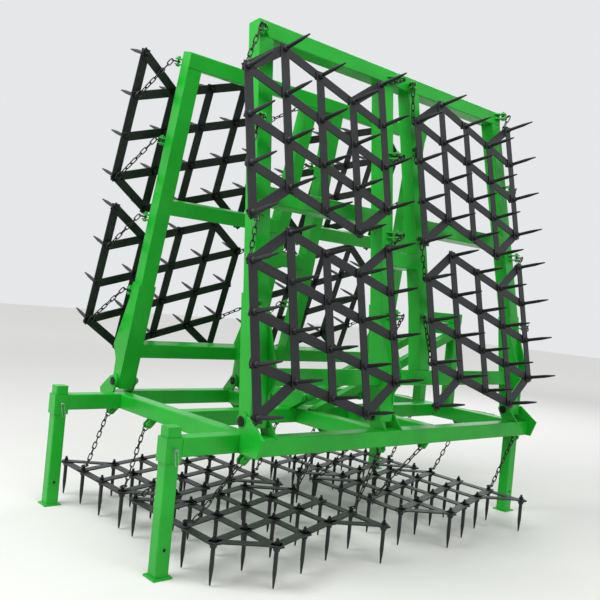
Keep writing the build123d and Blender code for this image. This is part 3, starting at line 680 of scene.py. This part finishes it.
class HARROW_OT_chains(bpy.types.Operator):
    """Makes the chains of welded round-wire links between the lugs and the sections"""

    bl_idname = "harrow.chains"
    bl_label = "Chains"

    def execute(self, context):
        sizes = context.scene.harrow_sizes
        stock = sizes.link_stock
        wire = stock * WIRE_SHARE
        slim_ring = link_shape(wire, LINK_INSIDE)
        shackle = drawn_link(link_shape(wire, SHACKLE_INSIDE), SHACKLE_LENGTH, SHACKLE_INSIDE)
        links = {}
        for node, body, lug, section, stud in hangings():
            parts = links.setdefault((node, body), [])
            bolt = lug @ Vector((LUG_REACH, 0, 0))
            bolt_way = lug.to_3x3().col[2]
            flat_way = section.to_3x3().col[2]
            # Under the frame a shackle hangs towards its stud, and on a wing it stands out of its lug
            toward = stud - lug.translation if node == "centre_chains" else lug.to_3x3().col[0]
            first, start = shackle_place(bolt, BOLT_RADIUS, toward, bolt_way, stock)
            last, end = shackle_place(stud, STUD_RADIUS, start - stud, flat_way, stock)
            parts += [placed(shackle, first), placed(shackle, last)]
            run = end - start
            along = run.normalized()
            count = max(1, round((run.length + stock) / sizes.link_length))
            pitch = (run.length + stock) / count
            link = drawn_link(slim_ring, pitch, LINK_INSIDE)
            # Each link is turned about a quarter against the last, from the one shackle to the other
            whole = turn_between(bolt_way, flat_way, along)
            whole += math.pi * round(((count + 1) / 2) - whole / math.pi)
            step = whole / (count + 1)
            for number in range(count):
                upright = Matrix.Rotation(step * (number + 1), 3, along) @ (
                    bolt_way - along * bolt_way.dot(along))
                place = start + along * (pitch * (number + 0.5) - stock / 2)
                parts.append(placed(link, frame_matrix(place, along, upright)))
        for (node, body), parts in links.items():
            make_piece(node + "_links", parts, "chain", body, stands_for=(node,))
        return {"FINISHED"}


class HARROW_OT_lug_bolts(bpy.types.Operator):
    """Makes the rounded cheeks of the lugs and their bolt heads, washers and nuts"""

    bl_idname = "harrow.lug_bolts"
    bl_label = "Lug bolts"

    def execute(self, context):
        washer = turned_shape(LUG_WASHER, 18, LUG_HALF)
        head = turned_shape(LUG_BOLT_HEAD, 6, LUG_HALF)
        tip = turned_shape(LUG_BOLT_TIP, 12, LUG_HALF)
        # The cheeks end in a half circle round the bolt and start inside the tube that they stand on
        arc = [math.radians(angle) for angle in range(-90, 91, 15)]
        outline = [(LUG_REACH + CHEEK_RADIUS * math.cos(angle), CHEEK_RADIUS * math.sin(angle))
                   for angle in arc]
        outline += [(CHEEK_ROOT, CHEEK_RADIUS), (CHEEK_ROOT, -CHEEK_RADIUS)]
        cheeks = [plate_shape(outline, low, high, CHEEK_EDGE)
                  for low, high in ((CHEEK_INNER, CHEEK_OUTER), (-CHEEK_OUTER, -CHEEK_INNER))]
        fittings = {}
        for _, body, lug, _, _ in hangings():
            bolt = lug @ Vector((LUG_REACH, 0, 0))
            x_way, _, z_way = lug.to_3x3().col
            parts = fittings.setdefault(body, [])
            parts += [placed(cheek, lug) for cheek in cheeks]
            for way in (z_way, -z_way):
                place = frame_matrix(bolt, x_way, way)
                parts += [placed(washer, place), placed(head, place)]
            parts.append(placed(tip, frame_matrix(bolt, x_way, z_way)))
        for body, parts in fittings.items():
            make_piece(body + "_lug_bolts", parts, "green", body)
        return {"FINISHED"}


class HARROW_OT_end_plates(bpy.types.Operator):
    """Makes the pointed plates that close the side bars' ends"""

    bl_idname = "harrow.end_plates"
    bl_label = "End plates"

    def execute(self, context):
        plates = []
        for sign in SIDES.values():
            for near, far in END_PLATE_Y:
                # Seen along the machine the plate's own height runs against y on the right side
                heights = sorted((-sign * near, -sign * far))
                plate = plate_shape(END_PLATE, *heights, END_PLATE_EDGE)
                place = frame_matrix((0, DATUM_Y, 0), (sign, 0, 0), (0, -sign, 0))
                plates.append(placed(plate, place))
        make_piece("side_bar_end_plates", plates, "green", "frame")
        return {"FINISHED"}


class HARROW_OT_hinges(bpy.types.Operator):
    """Makes the washers, caps and nuts of the six hinge pins"""

    bl_idname = "harrow.hinges"
    bl_label = "Hinge pin fittings"

    def execute(self, context):
        washer = turned_shape(HINGE_WASHER, 28, EAR_FACE)
        cap = turned_shape(HINGE_CAP, 32, PIN_END)
        nut = turned_shape(HINGE_NUT, 6, PIN_END)
        thread = turned_shape(HINGE_THREAD, 24, PIN_END)
        washers = []
        caps = []
        nuts = []
        for sign in SIDES.values():
            for y in HINGE_Y:
                rear, ahead = (
                    frame_matrix((sign * HINGE_X, y + DATUM_Y, HINGE_Z), (sign, 0, 0), (0, way, 0))
                    for way in (-1, 1))
                washers += [placed(washer, rear), placed(washer, ahead)]
                caps.append(placed(cap, rear))
                # The front pins stay flush, because the front legs slide past them
                if y != HINGE_Y[-1]:
                    nuts += [placed(nut, ahead), placed(thread, ahead)]
        make_piece("hinge_washers", washers, "green", "frame")
        make_piece("hinge_pin_heads", caps, "pin", "frame")
        make_piece("hinge_pin_nuts", nuts, "zinc", "frame")
        return {"FINISHED"}


class HARROW_OT_cylinders(bpy.types.Operator):
    """Makes the glands, foot rings, port bosses and unions of the two folding cylinders"""

    bl_idname = "harrow.cylinders"
    bl_label = "Cylinder fittings"

    def execute(self, context):
        gland = turned_shape(GLAND, 32, BARREL_END)
        foot = turned_shape(FOOT_RING, 32, BARREL_START)
        boss = turned_shape(PORT_BOSS, 20)
        union = turned_shape(PORT_UNION, 6)
        for side, sign in SIDES.items():
            base = Vector((sign * CYLINDER_BASE[0], CYLINDER_Y + DATUM_Y, CYLINDER_BASE[1]))
            eye = wing_matrix(side) @ Vector((sign * CYLINDER_EYE[0], CYLINDER_Y, CYLINDER_EYE[1]))
            run = (eye - base).normalized()
            line = frame_matrix(base, (0, 1, 0), run)
            rings = [placed(gland, line), placed(foot, line)]
            unions = []
            for distance in (BARREL_START + PORT_INSETS[0], BARREL_END - PORT_INSETS[1]):
                port = frame_matrix(base + run * distance, run, Vector((0, 1, 0)).cross(run) * -sign)
                rings.append(placed(boss, port))
                unions.append(placed(union, port))
            make_piece("cylinder_%s_rings" % side, rings, "green", "cylinder_barrel_" + side)
            make_piece("cylinder_%s_unions" % side, unions, "zinc", "cylinder_barrel_" + side)
        return {"FINISHED"}


class HARROW_OT_leg_pins(bpy.types.Operator):
    """Makes the pins that lock the legs in their sleeves, with clips and handles, and the legs' holes as
    discs of painted shade
    """

    bl_idname = "harrow.leg_pins"
    bl_label = "Leg pins"

    def execute(self, context):
        # The pin stands out of both sides of its sleeve: a bent handle on one, a spring clip on the other
        end = SLEEVE_HALF + LEG_PIN_OUT
        pin = turned_shape(((-end - 0.018, 0.0050), (-end - 0.016, LEG_PIN_RADIUS),
                            (end + 0.004, LEG_PIN_RADIUS), (end + 0.0041, LEG_PIN_HEAD),
                            (end + 0.010, LEG_PIN_HEAD)), 12)
        clip = drawn_link(link_shape(CLIP_WIRE, CLIP_INSIDE), CLIP_LENGTH, CLIP_INSIDE)
        handle = drawn_link(link_shape(HANDLE_WIRE, HANDLE_INSIDE), HANDLE_LENGTH, HANDLE_INSIDE)
        pins = []
        for sign in SIDES.values():
            for y in LEG_Y:
                middle = Vector((sign * LEG_X, y + DATUM_Y, FRAME_TOP - LEG_PIN_DROP))
                pins.append(placed(pin, frame_matrix(middle, (0, 1, 0), (-1, 0, 0))))
                # The clip hangs a little aslant, and the handle straight down
                hang = middle + Vector((end + CLIP_OFFSET[0], *CLIP_OFFSET[1:]))
                pins.append(placed(clip, frame_matrix(hang, (0.02, 0.12, -1), (1, 0.25, 0.1))))
                grip = middle + Vector((-end + HANDLE_OFFSET[0], *HANDLE_OFFSET[1:]))
                pins.append(placed(handle, frame_matrix(grip, (0, 0, -1), (1, 0, 0))))
        make_piece("leg_lock_pins", pins, "zinc", "frame")
        # A hole is a near-black disc of painted shade that stands just out of the leg's face
        hole = turned_shape(((-0.002, LEG_HOLE_RADIUS), (0.0004, LEG_HOLE_RADIUS)), 24, LEG_HALF)
        ends = {"rear": LEG_Y[0], "front": LEG_Y[1]}
        for side, sign in SIDES.items():
            for name, y in ends.items():
                middle = (sign * LEG_X, y + DATUM_Y, LEG_HOLE_HEIGHT)
                holes = [placed(hole, frame_matrix(middle, (0, 1, 0), (way, 0, 0))) for way in (-1, 1)]
                make_piece("leg_%s_%s_holes" % (name, side), holes, "dark", "leg_%s_%s" % (name, side))
        return {"FINISHED"}


class HARROW_OT_stage(bpy.types.Operator):
    """Makes the floor, the lamps, the world and the camera"""

    bl_idname = "harrow.stage"
    bl_label = "Stage"

    def execute(self, context):
        scene = context.scene
        clear_selection()
        bpy.ops.mesh.primitive_plane_add(size=FLOOR_SIZE, location=(0, 0, 0))
        floor = context.object
        floor.name = "floor"
        material, tree = new_material("studio_floor")
        path = add_node(tree, "ShaderNodeLightPath")
        seen = add_node(tree, "ShaderNodeMath", {"operation": "MAXIMUM"},
                        {0: path.outputs["Is Camera Ray"], 1: path.outputs["Is Glossy Ray"]})
        shader = add_node(tree, "ShaderNodeBsdfPrincipled",
                          {"Base Color": linear(FLOOR_COLOUR), "Roughness": 0.9})
        glow = add_node(tree, "ShaderNodeEmission", {"Color": linear(FLOOR_COLOUR)})
        # Away from the lamps the floor glows a little more, so that it stays pale up to the horizon
        coords = add_node(tree, "ShaderNodeTexCoord")
        reach = add_node(tree, "ShaderNodeVectorMath", {"operation": "LENGTH"},
                         {0: coords.outputs["Object"]})
        glow_level = add_node(tree, "ShaderNodeMapRange",
                              {"interpolation_type": "SMOOTHSTEP", "From Min": FLOOR_GLOW_REACH[0],
                               "From Max": FLOOR_GLOW_REACH[1], "To Min": FLOOR_GLOW[0],
                               "To Max": FLOOR_GLOW[1]}, {"Value": reach.outputs["Value"]})
        level = add_node(tree, "ShaderNodeMath", {"operation": "MULTIPLY"},
                         {0: seen.outputs[0], 1: glow_level.outputs[0]})
        tree.links.new(level.outputs[0], glow.inputs["Strength"])
        both = add_node(tree, "ShaderNodeAddShader", None, {0: shader.outputs[0], 1: glow.outputs[0]})
        finish_material(tree, both)
        floor.data.materials.append(material)

        world = bpy.data.worlds.new("studio")
        scene.world = world
        world.use_nodes = True
        world.node_tree.nodes.clear()
        sky = world.node_tree
        path = add_node(sky, "ShaderNodeLightPath")
        seen = add_node(sky, "ShaderNodeMath", {"operation": "MAXIMUM"},
                        {0: path.outputs["Is Camera Ray"], 1: path.outputs["Is Glossy Ray"]})
        strength = add_node(sky, "ShaderNodeMapRange",
                            {"To Min": BACKDROP_LIGHT, "To Max": BACKDROP_SEEN},
                            {"Value": seen.outputs[0]})
        back = add_node(sky, "ShaderNodeBackground", {"Color": linear(BACKDROP_COLOUR)},
                        {"Strength": strength.outputs[0]})
        add_node(sky, "ShaderNodeOutputWorld", links={"Surface": back.outputs[0]})

        for name, place, aim, size, watts in LAMPS:
            lamp = bpy.data.lights.new(name, "AREA")
            lamp.energy = watts
            lamp.size = size
            holder = bpy.data.objects.new(name, lamp)
            holder.location = place
            holder.rotation_euler = (Vector(aim) - Vector(place)).to_track_quat("-Z", "Y").to_euler()
            scene.collection.objects.link(holder)

        lens = bpy.data.cameras.new("photo_camera")
        lens.lens = CAMERA_LENS
        lens.sensor_width = CAMERA_SENSOR
        lens.clip_end = 200.0
        camera = bpy.data.objects.new("photo_camera", lens)
        heading, rise, roll = CAMERA_HEADING, CAMERA_RISE, CAMERA_ROLL
        ahead = Vector((-math.sin(heading) * math.cos(rise), math.cos(heading) * math.cos(rise),
                        math.sin(rise)))
        level_right = Vector((math.cos(heading), math.sin(heading), 0))
        level_up = level_right.cross(ahead)
        right = level_right * math.cos(roll) + level_up * math.sin(roll)
        up = level_up * math.cos(roll) - level_right * math.sin(roll)
        turn = Matrix((right, up, -ahead)).transposed().to_4x4()
        turn.translation = Vector(CAMERA_PLACE)
        camera.matrix_world = turn
        scene.collection.objects.link(camera)
        scene.camera = camera
        scene.view_settings.view_transform = "Standard"
        return {"FINISHED"}


class HARROW_PT_panel(bpy.types.Panel):
    """Lists the harrow's steps in the sidebar"""

    bl_label = "Harrow"
    bl_idname = "HARROW_PT_panel"
    bl_space_type = "VIEW_3D"
    bl_region_type = "UI"
    bl_category = "Harrow"

    def draw(self, context):
        for step in STEPS:
            self.layout.operator(step.bl_idname)
        for group in (context.scene.harrow_finish, context.scene.harrow_sizes):
            for name in group.bl_rna.properties.keys():
                if name not in ("rna_type", "name"):
                    self.layout.prop(group, name)


STEPS = (
    HARROW_OT_paint,
    HARROW_OT_sections,
    HARROW_OT_chains,
    HARROW_OT_lug_bolts,
    HARROW_OT_end_plates,
    HARROW_OT_hinges,
    HARROW_OT_cylinders,
    HARROW_OT_leg_pins,
    HARROW_OT_stage,
)
CLASSES = (HarrowFinish, HarrowSizes, *STEPS, HARROW_PT_panel)


def register():
    """Registers the add-on's classes and its settings."""
    for kind in CLASSES:
        bpy.utils.register_class(kind)
    bpy.types.Scene.harrow_finish = bpy.props.PointerProperty(type=HarrowFinish)
    bpy.types.Scene.harrow_sizes = bpy.props.PointerProperty(type=HarrowSizes)


def unregister():
    """Removes the settings and classes again."""
    del bpy.types.Scene.harrow_sizes
    del bpy.types.Scene.harrow_finish
    for kind in reversed(CLASSES):
        bpy.utils.unregister_class(kind)


def main():
    """Makes every piece and the stage."""
    register()
    bpy.ops.harrow.paint()
    bpy.ops.harrow.sections()
    bpy.ops.harrow.chains()
    bpy.ops.harrow.lug_bolts()
    bpy.ops.harrow.end_plates()
    bpy.ops.harrow.hinges()
    bpy.ops.harrow.cylinders()
    bpy.ops.harrow.leg_pins()
    bpy.ops.harrow.stage()


if __name__ == "__main__":
    main()
